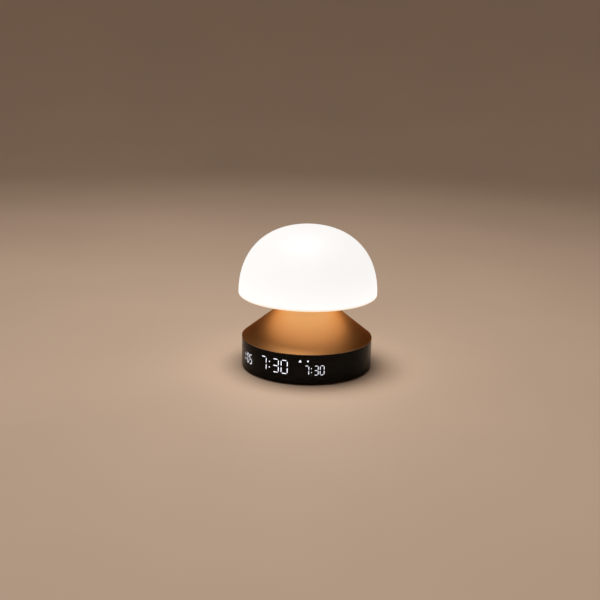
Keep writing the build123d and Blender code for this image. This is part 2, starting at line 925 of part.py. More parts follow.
def button_places():
    """Middles of the rear buttons, along X."""
    return [(number - (button_count - 1) / 2) * button_pitch for number in range(button_count)]


def rear_switches():
    """Key switch bodies on the rear board, each with the well for its plunger."""
    outline, well = Rectangle(key_size, key_size), Circle(key_plunger_radius + running / 2)
    well_floor = key_top - 2 * button_travel - 2 * running
    bodies = []
    for x in button_places():
        body = rear_prism(x, button_middle, outline, rear_board_face, key_top)
        bodies.append(body - rear_prism(x, button_middle, well, well_floor, key_top))
    return Compound(bodies)


def key_plunger(x):
    """Plunger of one rear switch."""
    low = key_top - button_travel - running
    return rear_prism(x, button_middle, Circle(key_plunger_radius), low, plunger_top)


def button(x):
    """Rear button: cap that follows the band, flange behind the wall, stem to the switch."""
    flange_outer = band_inner - running
    flange_inner = flange_outer - button_flange_wall
    slot = SlotOverall(button_width, button_height)
    rim = RectangleRounded(button_width + 2 * button_flange_rim, button_height + 2 * button_flange_rim, 1)
    stem = Rectangle(stem_width, stem_height)
    cap = rear_prism(x, button_middle, slot, 0, band_radius + 5)
    cap &= tube(band_radius + button_proud, flange_inner, 0, band_top)
    cap = fillet(cap.faces().sort_by(Axis.Y)[-1].edges(), button_round)
    flange = rear_prism(x, button_middle, rim, 0, band_radius)
    flange &= tube(flange_outer, flange_inner, 0, band_top)
    shank = rear_prism(x, button_middle, stem, plunger_top, band_radius)
    shank &= tube(flange_outer, 0, 0, band_top)
    return cap + flange + shank


def usb_shell():
    """Steel shell of the socket."""
    mouth = band_radius - socket_recess
    skin = SlotOverall(socket_width, socket_thickness)
    skin -= SlotOverall(socket_width - 2 * socket_skin, socket_thickness - 2 * socket_skin)
    return rear_prism(0, socket_middle, skin, rear_board_face, mouth)


def usb_tongue():
    """Plastic base and contact tongue inside the shell."""
    mouth = band_radius - socket_recess
    inside = SlotOverall(socket_width - 2 * socket_skin, socket_thickness - 2 * socket_skin)
    base = rear_prism(0, socket_middle, inside, rear_board_face, mouth - plug_depth)
    tongue = Rectangle(tongue_width, tongue_thickness)
    return base + rear_prism(0, socket_middle, tongue, rear_board_face, mouth - tongue_recess)


# ---------------------------------------------------------------- speaker

def at_speaker(solid):
    """Move a solid turned about Z to the speaker's axis."""
    return Pos(0, speaker_offset, 0) * solid


def speaker_screw_places():
    """Centres of the speaker's screws, just outside its flange."""
    circle = speaker_radius + speaker_boss_radius + speaker_screw_gap
    turns = [radians(angle) for angle in (30, 150, 270)]
    return [(circle * cos(turn), speaker_offset + circle * sin(turn)) for turn in turns]


def speaker_gasket():
    """Foam ring between the speaker and the cover."""
    return at_speaker(tube(speaker_radius, cone_rim_radius + 2, cover_top, gasket_top))


def speaker_frame():
    """Pressed basket with a flange, open to the magnet."""
    lip = cone_rim_radius + running + surround_width - surround_bond
    wall = cone_rim_radius + running + surround_width + slip
    shoulder = speaker_flange_top + basket_rise
    seat = magnet_radius + basket_wall
    frame = turned(
        [
            (lip, gasket_top),
            (speaker_radius, gasket_top),
            (speaker_radius, speaker_flange_top),
            (wall + basket_wall, speaker_flange_top),
            (wall + basket_wall, shoulder),
            (seat, magnet_low),
            (magnet_radius - basket_seat, magnet_low),
            (magnet_radius - basket_seat, magnet_low - basket_wall),
            (seat - basket_wall / 2, magnet_low - basket_wall),
            (wall, shoulder - basket_wall / 2),
            (wall, speaker_flange_top),
            (lip, speaker_flange_top),
        ]
    )
    return at_speaker(frame)


def speaker_magnet():
    """Magnet cup with its centre pole and the gap for the voice coil."""
    pole = coil_radius - coil_gap
    gap_outer = coil_radius + coil_wall + coil_gap
    cup = turned(
        [
            (0, magnet_low),
            (pole, magnet_low),
            (pole, speaker_top - magnet_plate),
            (gap_outer, speaker_top - magnet_plate),
            (gap_outer, magnet_low),
            (magnet_radius, magnet_low),
            (magnet_radius, speaker_top),
            (0, speaker_top),
        ]
    )
    return at_speaker(cup)


def speaker_cone():
    """Paper cone, dust cap and voice coil in one."""
    rim_low = speaker_flange_top + slip
    coil_outer = coil_radius + coil_wall
    coil_top = speaker_top - magnet_plate - cone_travel - running
    throat = magnet_low - coil_stand
    paper = turned(
        [
            (0, throat),
            (coil_radius, throat),
            (coil_radius, coil_top),
            (coil_outer, coil_top),
            (coil_outer, throat),
            (cone_rim_radius, rim_low + cone_paper),
            (cone_rim_radius, rim_low),
            (coil_outer, throat - cone_paper),
            (0, throat - cone_paper),
        ]
    )
    return at_speaker(paper)


def speaker_surround():
    """Rubber roll between the cone's rim and the frame."""
    inner = cone_rim_radius + running
    low = speaker_flange_top
    roll = turned(
        [
            (inner, low),
            (inner + surround_width, low),
            (inner + surround_width, low + surround_edge),
            (inner + surround_width / 2, low + surround_roll),
            (inner, low + surround_roll - slip),
        ]
    )
    return at_speaker(roll)


def speaker_screws():
    """Three screws whose heads clamp the speaker's flange."""
    places = speaker_screw_places()
    return Compound([screw(x, y, speaker_flange_top, speaker_screw_length) for x, y in places])


# ---------------------------------------------------------------- inner leads

def led_lead():
    """Lead from the main board up through the post to the lamp board."""
    x, start = lamp_connector_x, board_top + connector_height
    points = [(x, 0, start), (x, 0, start + lead_rise), (0, 0, frame_top + lead_rise), (0, 0, post_top)]
    return lead(points, [lead_bend, 2 * lead_bend])


def battery_lead():
    """Lead from the cell's cradle up to the main board."""
    x, y = battery_connector_x, battery_connector_y()
    wall = cell_radius + cell_lift - cell_offset + lead_radius
    low, high = cell_middle - cradle_foot_drop, board_low - connector_height
    points = [(x, wall, low), (x, wall, low + lead_bend), (x, y, high - lead_bend), (x, y, high)]
    return lead(points, [lead_bend / 2, lead_bend / 2])


def speaker_lead():
    """Lead from the speaker's basket up to the main board."""
    wall = cone_rim_radius + running + surround_width + slip + basket_wall
    height = speaker_flange_top + lead_radius + running
    x, top = speaker_connector_x, board_low - connector_height
    points = [(wall, speaker_offset, height), (x, speaker_offset, height), (x, speaker_offset, top)]
    return lead(points, [lead_bend])


# ---------------------------------------------------------------- write the parts

parts = {
    "rubber_feet": rubber_feet(),
    "bottom_cover": bottom_cover(),
    "base_screws": base_screws(),
    "display_ring": display_ring(),
    "cone_body": cone_body(),
    "main_board": main_board(),
    "board_chips": board_chips(),
    "board_connectors": board_connectors(),
    "battery_cell": battery_cell(),
    "battery_cradle": battery_cradle(),
    "battery_contacts": battery_contacts(),
    "speaker_gasket": speaker_gasket(),
    "speaker_frame": speaker_frame(),
    "speaker_magnet": speaker_magnet(),
    "speaker_cone": speaker_cone(),
    "speaker_surround": speaker_surround(),
    "speaker_screws": speaker_screws(),
    "time_display_mask": mask(0, time_span, time_windows),
    "time_display_segments": lenses(time_windows),
    "alarm_display_mask": mask(alarm_heading, small_span, alarm_windows + icon_windows()),
    "alarm_display_segments": lenses(alarm_windows),
    "alarm_display_icons": lenses(icon_windows()),
    "date_display_mask": mask(date_heading, small_span, date_windows),
    "date_display_segments": lenses(date_windows),
    "display_board": display_board(),
    "display_leds": display_leds(),
    "display_frame": display_frame(),
    "display_ribbon": display_ribbon(),
    "rear_board": rear_board(),
    "rear_switches": rear_switches(),
    "usb_shell": usb_shell(),
    "usb_tongue": usb_tongue(),
    "neck_frame": neck_frame(),
    "neck_screws": neck_screws(),
    "led_post": led_post(),
    "led_board": led_board(),
    "led_board_screws": led_board_screws(),
    "led_emitters": led_emitters(),
    "dome_shell": dome_shell(),
    "dome_floor": dome_floor(),
    "dome_carrier": dome_carrier(),
    "carrier_screws": carrier_screws(),
    "dome_spring": dome_spring(),
    "dome_switch": dome_switch(),
    "dome_switch_plunger": dome_switch_plunger(),
    "led_lead": led_lead(),
    "battery_lead": battery_lead(),
    "speaker_lead": speaker_lead(),
}

button_names = ["light", "minus", "alarm", "plus", "sound"]
for name, x in zip(button_names, button_places()):
    parts[name + "_button"] = button(x)
    parts[name + "_plunger"] = key_plunger(x)

os.makedirs("parts", exist_ok=True)
for node, shape in parts.items():
    export_step(shape, f"parts/{node}.step")
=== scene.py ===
# %% [markdown]
# # Sunrise alarm clock: finishes, displays and light
#
# The solids of the clock arrive as a fixed frame: a dome, a metal cone, a smoked band with its
# displays, and everything inside. This script never moves them. It gives every surface its
# finish, models the small things that solids leave out, lights the clock softly and sets the
# camera. Lengths are in metres, +Z is up and the front of the clock faces -Y.

# %% Load the frame
import json
from math import asin, cos, degrees, pi, radians, sin, sqrt

import bmesh
import bpy
from mathutils import Matrix, Quaternion, Vector


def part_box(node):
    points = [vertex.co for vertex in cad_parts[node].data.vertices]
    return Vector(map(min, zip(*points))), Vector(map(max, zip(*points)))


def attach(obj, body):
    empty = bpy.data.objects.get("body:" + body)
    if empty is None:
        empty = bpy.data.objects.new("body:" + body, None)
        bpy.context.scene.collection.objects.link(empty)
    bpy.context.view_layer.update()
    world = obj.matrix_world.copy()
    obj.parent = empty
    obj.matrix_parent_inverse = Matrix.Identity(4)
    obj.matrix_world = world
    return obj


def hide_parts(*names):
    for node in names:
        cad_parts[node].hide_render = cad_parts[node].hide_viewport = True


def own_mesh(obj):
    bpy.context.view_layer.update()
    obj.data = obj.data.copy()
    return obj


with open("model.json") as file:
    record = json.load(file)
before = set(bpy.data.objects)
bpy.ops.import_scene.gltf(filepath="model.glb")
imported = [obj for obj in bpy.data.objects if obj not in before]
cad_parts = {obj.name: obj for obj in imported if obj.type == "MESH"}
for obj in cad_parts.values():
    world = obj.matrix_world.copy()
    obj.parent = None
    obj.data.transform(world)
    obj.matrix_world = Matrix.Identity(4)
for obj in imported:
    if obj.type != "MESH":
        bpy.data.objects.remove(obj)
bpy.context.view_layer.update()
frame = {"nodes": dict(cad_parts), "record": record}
bpy.context.scene.view_settings.view_transform = "Standard"
mm = 0.001
print("CAD nodes:", len(frame["nodes"]))

# %% [markdown]
# ## Camera
#
# A camera is easiest to repeat when it is written as a place, a point that it aims at, and a
# small roll, because those are what one sets on a real tripod. `to_track_quat` turns the line
# of sight into a rotation, and the roll is a turn about the camera's own axis after that.

# %% Camera
camera_distance = 0.8872
camera_height = 0.3002
camera_azimuth = radians(33.4)
aim_height = 0.0616
aim_left = 0.0070
camera_roll = radians(1.2)
camera_lens = 60.0
sensor_width = 36.0


def round_the_clock(x, y, z):
    """A point given as the camera sees the clock from the front, turned to its azimuth."""
    return Matrix.Rotation(camera_azimuth, 3, "Z") @ Vector((x, y, z))


camera = bpy.data.objects.new("camera", bpy.data.cameras.new("camera"))
bpy.context.scene.collection.objects.link(camera)
camera.data.lens = camera_lens
camera.data.sensor_width = sensor_width
camera.location = round_the_clock(0, -camera_distance, camera_height)
sight = round_the_clock(-aim_left, 0, aim_height) - camera.location
camera.rotation_mode = "QUATERNION"
camera.rotation_quaternion = sight.to_track_quat("-Z", "Y") @ Quaternion((0, 0, 1), camera_roll)
bpy.context.scene.camera = camera
print("camera at", [round(x, 3) for x in camera.location])

# %% [markdown]
# ## From a bmesh to a piece
#
# Each new piece starts as a bmesh, which is a mesh that is open for editing. When it is done,
# its doubles are merged, its faces are turned outwards and it becomes an object at the origin,
# so that its place is in its mesh. A round piece is shaded smooth, apart from its sharp edges.

# %% Finish a piece
sharp_angle = radians(35)
merge_distance = 0.001 * mm


def finished(bm, name, materials, body=None, smooth=False):
    """Close a bmesh, make it an object and let it ride on a body."""
    bmesh.ops.remove_doubles(bm, verts=bm.verts, dist=merge_distance)
    bmesh.ops.recalc_face_normals(bm, faces=bm.faces)
    mesh = bpy.data.meshes.new(name)
    bm.to_mesh(mesh)
    bm.free()
    for material in materials:
        mesh.materials.append(material)
    if smooth:
        mesh.shade_smooth()
        mesh.set_sharp_from_angle(angle=sharp_angle)
    piece = bpy.data.objects.new(name, mesh)
    bpy.context.scene.collection.objects.link(piece)
    if body:
        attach(piece, body)
    print(name, "faces:", len(mesh.polygons))
    return piece


print("edges stay sharp from", round(degrees(sharp_angle)), "degrees")

# %% [markdown]
# ## Nodes
#
# Every finish is a small node tree. Three helpers write one: `add` makes a node and sets its
# sockets, `link` joins two sockets, and `blend` mixes two colours. The rest read the surface.
# They use Object coordinates, so a pattern stays where it is on the piece.

# %% Add, link and blend
def add(material, kind, **inputs):
    """Add a node and set its input sockets by name, with spaces written as underscores."""
    made = material.node_tree.nodes.new("ShaderNode" + kind)
    for name, value in inputs.items():
        made.inputs[name.replace("_", " ")].default_value = value
    return made


def link(material, source, target):
    """Join an output socket to an input socket."""
    material.node_tree.links.new(source, target)


def blend(material, factor, first, second):
    """A colour that goes from the first to the second, colours or sockets, as a factor rises."""
    shades = add(material, "Mix")
    shades.data_type = "RGBA"
    for socket, shade in (("A", first), ("B", second)):
        if isinstance(shade, tuple):
            shades.inputs[socket].default_value = shade
        else:
            link(material, shade, shades.inputs[socket])
    link(material, factor, shades.inputs["Factor"])
    return shades.outputs["Result"]


print("helpers:", add.__name__, link.__name__, blend.__name__)

# %% Noise, ranges and height
noise_low, noise_high = 0.3, 0.7


def noise(material, size, detail=3.0):
    """Noise whose features are about one size across."""
    place = add(material, "TexCoord")
    cloud = add(material, "TexNoise", Scale=1 / size, Detail=detail)
    link(material, place.outputs["Object"], cloud.inputs["Vector"])
    return cloud.outputs["Fac"]


def ranged(material, source, start, end, low=0.0, high=1.0):
    """Map a value from a start and an end onto a low and a high one, and no further."""
    ramp = add(material, "MapRange", From_Min=start, From_Max=end, To_Min=low, To_Max=high)
    link(material, source, ramp.inputs["Value"])
    return ramp.outputs["Result"]


def height_of(material):
    """The height of a point of the surface."""
    place = add(material, "TexCoord")
    parts = add(material, "SeparateXYZ")
    link(material, place.outputs["Object"], parts.inputs["Vector"])
    return parts.outputs["Z"]


print("noise is used from", noise_low, "to", noise_high)

# %% [markdown]
# ## A finish
#
# No real surface is one flat colour. `dress` makes the base that the finishes share: a colour
# that wanders a little between two shades, a roughness that wanders with it, and a fine grain
# as a bump. Patch and grain are the sizes of these patterns, and depth is how deep the grain is.

# %% A finish
bump_strength = 0.5
grain_detail = 2.0


def shade_of(colour, brightness):
    """The same colour, brighter or darker, with full alpha."""
    return (*[min(1.0, part * brightness) for part in colour], 1.0)


def dress(
    name,
    colour,
    roughness,
    metallic=0.0,
    patch=12 * mm,
    wander=0.08,
    grain=0.4 * mm,
    depth=0.01 * mm,
):
    """A finish with wandering colour and roughness and a fine grain. Gives material and shader."""
    material = bpy.data.materials.new(name)
    material.use_nodes = True
    shader = material.node_tree.nodes["Principled BSDF"]
    shader.inputs["Metallic"].default_value = metallic
    patches = noise(material, patch)
    dark, bright = shade_of(colour, 1 - wander), shade_of(colour, 1 + wander)
    colours = blend(material, ranged(material, patches, noise_low, noise_high), dark, bright)
    link(material, colours, shader.inputs["Base Color"])
    smoothest, roughest = roughness * (1 - wander), roughness * (1 + wander)
    rough = ranged(material, patches, noise_low, noise_high, smoothest, roughest)
    link(material, rough, shader.inputs["Roughness"])
    bump = add(material, "Bump", Strength=bump_strength, Distance=depth)
    link(material, noise(material, grain, grain_detail), bump.inputs["Height"])
    link(material, bump.outputs["Normal"], shader.inputs["Normal"])
    return material, shader


finishes = {}
print("a shade a tenth brighter:", [round(part, 3) for part in shade_of((0.5, 0.4, 0.3), 1.1)])

# %% [markdown]
# ## Floor
#
# The clock stands on a round studio floor that curves up all round, like a shallow dish, so
# every view has the same pale ground and no horizon. Its profile is drawn once as a line with a
# quarter circle at its end, and spun about the axis. Its faces are turned up, towards the clock.

# %% Floor
floor_radius = 1.3
dish_radius = 0.7
dish_steps = 16
floor_steps = 96
floor_colour = (0.560, 0.432, 0.336)
floor_finish = dict(roughness=0.6, patch=250 * mm, wander=0.03)


def floor_dish():
    """A flat disc whose edge curves up through a quarter circle, spun from one profile."""
    bm = bmesh.new()
    profile = [bm.verts.new((0, 0, 0)), bm.verts.new((floor_radius, 0, 0))]
    for step in range(1, dish_steps + 1):
        turn = step / dish_steps * pi / 2
        x = floor_radius + dish_radius * sin(turn)
        profile.append(bm.verts.new((x, 0, dish_radius * (1 - cos(turn)))))
    edges = [bm.edges.new(pair) for pair in zip(profile, profile[1:])]
    around = dict(cent=(0, 0, 0), axis=(0, 0, 1), angle=2 * pi, steps=floor_steps)
    bmesh.ops.spin(bm, geom=profile + edges, use_merge=True, **around)
    return bm


floor_material = dress("studio_floor", floor_colour, **floor_finish)[0]
floor = finished(floor_dish(), "studio_floor", [floor_material], smooth=True)
for face in floor.data.polygons:
    if face.normal.z < 0:
        face.flip()

# %% [markdown]
# ## Lamp
#
# One large soft box hangs nearly overhead, a little to the left of the camera's view. A large
# lamp gives soft shadows: the floor darkens close to the band and no edge of a shadow shows.
# An area light shines along its own -Z, so the line to the clock is tracked as the camera's is.

# %% Lamp
lamp_place = (-0.12, 0.04, 1.30)
lamp_side = 0.70
lamp_power = 14.8
lamp_colour = (1.0, 0.95, 0.88)
lamp_aim = Vector((0, 0, 0.06))
light = bpy.data.lights.new("top_lamp", "AREA")
light.shape = "SQUARE"
light.size = lamp_side
light.energy = lamp_power
light.color = lamp_colour
lamp = bpy.data.objects.new("top_lamp", light)
bpy.context.scene.collection.objects.link(lamp)
lamp.location = round_the_clock(*lamp_place)
lamp.rotation_mode = "QUATERNION"
lamp.rotation_quaternion = (lamp_aim - lamp.location).to_track_quat("-Z", "Y")
print("lamp at", [round(x, 2) for x in lamp.location])

# %% [markdown]
# ## World
#
# The world is dim and warm, like a bedroom at night. Polished metal then has something dark to
# reflect beside the bright dome, and that contrast is what makes it read as metal.

# %% World
world_colour = (0.068, 0.037, 0.022, 1.0)
world = bpy.data.worlds.new("studio")
world.use_nodes = True
world.node_tree.nodes["Background"].inputs["Color"].default_value = world_colour
bpy.context.scene.world = world
print("world colour:", world_colour[:3])

# %% [markdown]
# ## Opal dome
#
# The dome is moulded in milky plastic over a ring of LEDs, so the light that leaves it is even
# and no bulb shows. Real subsurface scattering would give the same look slowly and with noise,
# so here the surface itself gives the light: bright above the rim, a little dimmer towards the
# crown, and creamy where the rim turns under and the plastic is seen thicker. The height of a
# point decides between the three, and a satin gloss stays on top.

# %% Opal dome
opal_colour = (0.38, 0.385, 0.39)
opal_roughness = 0.5
opal_wander = 0.02
opal_strength = 1.0
opal_shine = 0.3
glow_crown = (0.60, 0.605, 0.61, 1.0)
glow_side = (0.93, 0.925, 0.915, 1.0)
glow_cream = (0.78, 0.57, 0.36, 1.0)
rim_low, crown = (corner.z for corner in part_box("dome_shell"))
rim_high = rim_low + 3.2 * mm
opal, opal_shader = dress(
    "opal_dome", opal_colour, opal_roughness, wander=opal_wander, grain=0.8 * mm
)
opal_height = height_of(opal)
opal_turn = ranged(opal, opal_height, rim_low, rim_high)
opal_rise = ranged(opal, opal_height, rim_high, crown)
opal_glow = blend(opal, opal_turn, glow_cream, blend(opal, opal_rise, glow_side, glow_crown))
link(opal, opal_glow, opal_shader.inputs["Emission Color"])
opal_shader.inputs["Emission Strength"].default_value = opal_strength
opal_shader.inputs["Specular IOR Level"].default_value = opal_shine
finishes["opal_dome"] = opal
print("creamy rim in mm:", round(rim_low / mm, 1), "to", round(rim_high / mm, 1))

# %% [markdown]
# ## Underside of the dome
#
# The LEDs stand close over the middle of the dome's floor, so its underside is the brightest
# face of the clock, and it fades towards the rim. It is seldom seen, but it is what the cone
# reflects, and it makes the metal glow. The fade is the distance from the clock's axis, which
# is the length of the Object coordinates once a Mapping node has flattened their height.

# %% Underside of the dome
underside_colour = (0.38, 0.372, 0.36)
underside_strength = 2.45
glow_near = (0.98, 1.0, 0.93, 1.0)
glow_far = (0.70, 0.50, 0.38, 1.0)
near_neck, near_rim = 26.0 * mm, 58.0 * mm
underside, underside_shader = dress(
    "opal_underside", underside_colour, opal_roughness, wander=opal_wander
)
underside_place = add(underside, "TexCoord")
underside_flat = add(underside, "Mapping", Scale=(1, 1, 0))
underside_reach = add(underside, "VectorMath")
underside_reach.operation = "LENGTH"
link(underside, underside_place.outputs["Object"], underside_flat.inputs["Vector"])
link(underside, underside_flat.outputs["Vector"], underside_reach.inputs[0])
underside_fall = ranged(underside, underside_reach.outputs["Value"], near_neck, near_rim)
underside_glow = blend(underside, underside_fall, glow_near, glow_far)
link(underside, underside_glow, underside_shader.inputs["Emission Color"])
underside_shader.inputs["Emission Strength"].default_value = underside_strength
print("underside fades over", round((near_rim - near_neck) / mm), "mm")

# %% [markdown]
# ## Anodised cone
#
# The body is spun from aluminium, blasted to a satin and anodised in a copper bronze. It is a
# metal, so its colour is in its reflections: bright gold where it sees the lit dome above it
# and dark brown where it sees the dim room. The specular tint deepens the reflections at a
# glancing angle, as a dyed oxide layer does. The grain is a bump far finer than a millimetre.
# The lip at its foot is painted paler, a painted highlight where its edge catches the light.

# %% Anodised cone
copper_colour = (0.385, 0.200, 0.077)
copper_roughness = 0.48
copper_tint = (1.0, 0.35, 0.12, 1.0)
copper_grain = dict(patch=30 * mm, wander=0.03, grain=0.35 * mm, depth=0.004 * mm)
lip_highlight_colour = (0.62, 0.43, 0.33, 1.0)
lip_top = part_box("cone_body")[0].z + 2.2 * mm
lip_edge = 0.05 * mm
copper, copper_shader = dress(
    "copper_anodised", copper_colour, copper_roughness, metallic=1.0, **copper_grain
)
anodised = copper_shader.inputs["Base Color"].links[0].from_socket
# Below lip_top the base colour is a painted highlight: paler, where the lip's edge catches the
# light.
above_lip_highlight = ranged(copper, height_of(copper), lip_top - lip_edge, lip_top)
link(copper, blend(copper, above_lip_highlight, lip_highlight_colour, anodised), copper_shader.inputs["Base Color"])
copper_shader.inputs["Specular Tint"].default_value = copper_tint
finishes["copper_anodised"] = copper
print("bright lip ends at", round(lip_top / mm, 2), "mm")

# %% [markdown]
# ## Smoked band
#
# The band is smoked acrylic: nearly black from outside, but a lit segment behind it shines
# through. A mix does this: light that doesn't reflect goes straight through and is tinted at
# each face that it passes. How much reflects follows Schlick's curve, which rises steeply at a
# glancing angle. Layer Weight's Facing serves both faces of the wall alike, where a Fresnel
# node would turn the inner face into a mirror, as it takes it for a way out of solid plastic.

# %% Smoked band
smoke_tint = (0.20, 0.195, 0.20, 1.0)
face_on_gloss = 0.014
glancing_gloss = 0.6
schlick_power = 5.0
band_roughness = 0.08
ripple_size, ripple_depth, ripple_strength = 6 * mm, 0.004 * mm, 0.3
smoked = bpy.data.materials.new("smoked_band")
smoked.use_nodes = True
smoked.node_tree.nodes.remove(smoked.node_tree.nodes["Principled BSDF"])
smoked_gloss = add(smoked, "BsdfGlossy", Roughness=band_roughness)
smoked_clear = add(smoked, "BsdfTransparent", Color=smoke_tint)
smoked_facing = add(smoked, "LayerWeight", Blend=0.5)
smoked_curve = add(smoked, "Math")
smoked_curve.operation = "POWER"
smoked_curve.inputs[1].default_value = schlick_power
smoked_mix = add(smoked, "MixShader")
smoked_bump = add(smoked, "Bump", Strength=ripple_strength, Distance=ripple_depth)
smoked_out = smoked.node_tree.nodes["Material Output"]
link(smoked, noise(smoked, ripple_size, grain_detail), smoked_bump.inputs["Height"])
link(smoked, smoked_bump.outputs["Normal"], smoked_gloss.inputs["Normal"])
link(smoked, smoked_facing.outputs["Facing"], smoked_curve.inputs[0])
smoked_share = ranged(smoked, smoked_curve.outputs["Value"], 0, 1, face_on_gloss, glancing_gloss)
link(smoked, smoked_share, smoked_mix.inputs["Fac"])
link(smoked, smoked_clear.outputs["BSDF"], smoked_mix.inputs[1])
link(smoked, smoked_gloss.outputs["BSDF"], smoked_mix.inputs[2])
link(smoked, smoked_mix.outputs["Shader"], smoked_out.inputs["Surface"])
finishes["smoked_band"] = smoked
print("band reflects", face_on_gloss, "face on and", glancing_gloss, "at a glancing angle")

# %% [markdown]
# ## Plain finishes
#
# Moulded plastics, rubber, sheet steel and the circuit boards inside share one recipe and
# differ in a few numbers: colour, roughness, whether it is a metal, and the grain.

# %% Plain finishes
plain = {
    "cover_black": dict(
        colour=(0.020, 0.020, 0.021), roughness=0.55, grain=0.6 * mm, depth=0.03 * mm
    ),
    "foot_rubber": dict(colour=(0.028, 0.027, 0.026), roughness=0.8, depth=0.02 * mm),
    "screw_steel": dict(
        colour=(0.50, 0.50, 0.51), roughness=0.32, metallic=1.0, grain=0.3 * mm
    ),
    "circuit_board": dict(
        colour=(0.015, 0.11, 0.06), roughness=0.38, wander=0.15, grain=0.5 * mm
    ),
    "chip_black": dict(colour=(0.03, 0.03, 0.03), roughness=0.5),
    "connector_white": dict(colour=(0.80, 0.78, 0.72), roughness=0.45),
    "cell_wrap": dict(colour=(0.06, 0.20, 0.50), roughness=0.3, grain=1 * mm),
    "contact_nickel": dict(colour=(0.66, 0.63, 0.58), roughness=0.28, metallic=1.0),
    "gasket_foam": dict(
        colour=(0.06, 0.06, 0.06), roughness=0.9, grain=0.6 * mm, depth=0.1 * mm
    ),
    "pressed_steel": dict(colour=(0.25, 0.25, 0.26), roughness=0.4, metallic=1.0),
    "magnet_steel": dict(colour=(0.45, 0.45, 0.46), roughness=0.35, metallic=1.0),
    "speaker_paper": dict(
        colour=(0.05, 0.048, 0.045), roughness=0.9, grain=0.7 * mm, depth=0.08 * mm
    ),
    "mask_black": dict(colour=(0.008, 0.008, 0.008), roughness=0.8),
    "led_phosphor": dict(colour=(0.85, 0.74, 0.30), roughness=0.4),
    "ribbon_film": dict(colour=(0.62, 0.33, 0.08), roughness=0.3),
    "socket_steel": dict(
        colour=(0.60, 0.60, 0.62), roughness=0.25, metallic=1.0, wander=0.05
    ),
    "carrier_white": dict(colour=(0.82, 0.81, 0.77), roughness=0.5),
    "post_aluminium": dict(
        colour=(0.72, 0.72, 0.73), roughness=0.35, metallic=1.0, grain=0.8 * mm
    ),
    "lamp_board_white": dict(colour=(0.88, 0.88, 0.86), roughness=0.4),
    "lead_red": dict(colour=(0.45, 0.03, 0.025), roughness=0.5),
    "spring_steel": dict(colour=(0.55, 0.55, 0.54), roughness=0.25, metallic=1.0),
    "plunger_white": dict(colour=(0.80, 0.80, 0.78), roughness=0.45),
    "button_black": dict(colour=(0.022, 0.022, 0.023), roughness=0.42, depth=0.015 * mm),
}
for name, values in plain.items():
    finishes[name] = dress(name, **values)[0]
print("finishes:", len(finishes))

# %% [markdown]
# ## Lit segments
#
# Behind the band, each digit is seven light wells filled with clear plastic. A segment that is
# on glows white and one that is off is dull grey plastic, nearly lost behind the smoke. The
# smoke takes most of the light, so a lit segment is far stronger than it looks from outside.

# %% Segment finishes
segment_light = (0.93, 0.97, 1.0, 1.0)
segment_strength = 38.0
lit_finish = dict(colour=(0.85, 0.87, 0.9), roughness=0.4, wander=0.02)
unlit_finish = dict(colour=(0.06, 0.06, 0.062), roughness=0.5, wander=0.05)
lit, lit_shader = dress("segment_lit", **lit_finish)
lit_shader.inputs["Emission Color"].default_value = segment_light
lit_shader.inputs["Emission Strength"].default_value = segment_strength
unlit = dress("segment_unlit", **unlit_finish)[0]
finishes["segment_lens"] = unlit
print("segment strength:", segment_strength)

# %% [markdown]
# ## Flat drawings
#
# Digits and signs are flat drawings with a little depth. A drawing starts as faces at z = 0 and
# is pushed back into a block. A matrix then stands it up and turns it, so that it faces
# outwards at its heading, so each drawing is flat and the row of them follows the band.

# %% Flat drawings
lens_face = 59.0 * mm
lens_depth = 1.75 * mm


def disc(bm, radius, segments=24):
    """A filled circle at the origin."""
    ring = bmesh.ops.create_circle(bm, cap_ends=True, segments=segments, radius=radius)["verts"]
    return ring[0].link_faces[0]


def pushed(bm, faces, depth):
    """Extrude flat faces by a depth along Z and give back every vertex of the new block."""
    first = list({vert for face in faces for vert in face.verts})
    new = bmesh.ops.extrude_face_region(bm, geom=faces)["geom"]
    moved = [part for part in new if isinstance(part, bmesh.types.BMVert)]
    bmesh.ops.translate(bm, verts=moved, vec=(0, 0, depth))
    return first + moved


def to_band(bm, verts, heading, height, radius=lens_face):
    """Turn a flat drawing so that it faces outwards at a heading on the band."""
    outwards = Matrix.Rotation(heading, 4, "Z") @ Matrix.Translation((0, -radius, height))
    bmesh.ops.transform(bm, verts=verts, matrix=outwards @ Matrix.Rotation(pi / 2, 4, "X"))


print("lenses end", round(lens_face / mm, 1), "mm from the axis")

# %% [markdown]
# ## Bars
#
# A bar of a digit is a long hexagon. `create_circle` with six sides is already nearly that
# shape: stretched by the square root of three its points are at 45 degrees, and then the two
# halves are moved apart to the bar's length. Pushed back, it is the lens that fills a well. Its
# front is printed black round a narrow slit, which an inset makes, so the digit looks finer
# than its wells.

# %% Bars
lit_slot, unlit_slot = 0, 1


def flat_bar(bm, x, y, length, stroke, upright, depth):
    """One pointed bar as a block whose front is at z = 0. Gives its vertices."""
    hexagon = disc(bm, stroke / sqrt(3), 6)
    ring = list(hexagon.verts)
    bmesh.ops.scale(bm, verts=ring, vec=(1, sqrt(3), 1))
    for way in (-1, 1):
        half = [vert for vert in ring if vert.co.y * way > 0]
        bmesh.ops.translate(bm, verts=half, vec=(0, way * (length / 2 - stroke), 0))
    if not upright:
        bmesh.ops.rotate(bm, verts=ring, cent=(0, 0, 0), matrix=Matrix.Rotation(pi / 2, 3, "Z"))
    bmesh.ops.translate(bm, verts=ring, vec=(x, y, 0))
    return pushed(bm, [hexagon], -depth)


def blacked(verts):
    """Make a block unlit. Gives its faces."""
    faces = {face for vert in verts for face in vert.link_faces}
    for face in faces:
        face.material_index = unlit_slot
    return faces


def slit(bm, verts, border):
    """Leave only the middle of a block's front face lit. Gives every vertex of the block."""
    front = max(blacked(verts), key=lambda face: face.calc_center_median().z)
    bmesh.ops.inset_individual(bm, faces=[front], thickness=border)
    front.material_index = lit_slot
    return verts + list(front.verts)


print("slots: lit", lit_slot, "and unlit", unlit_slot)

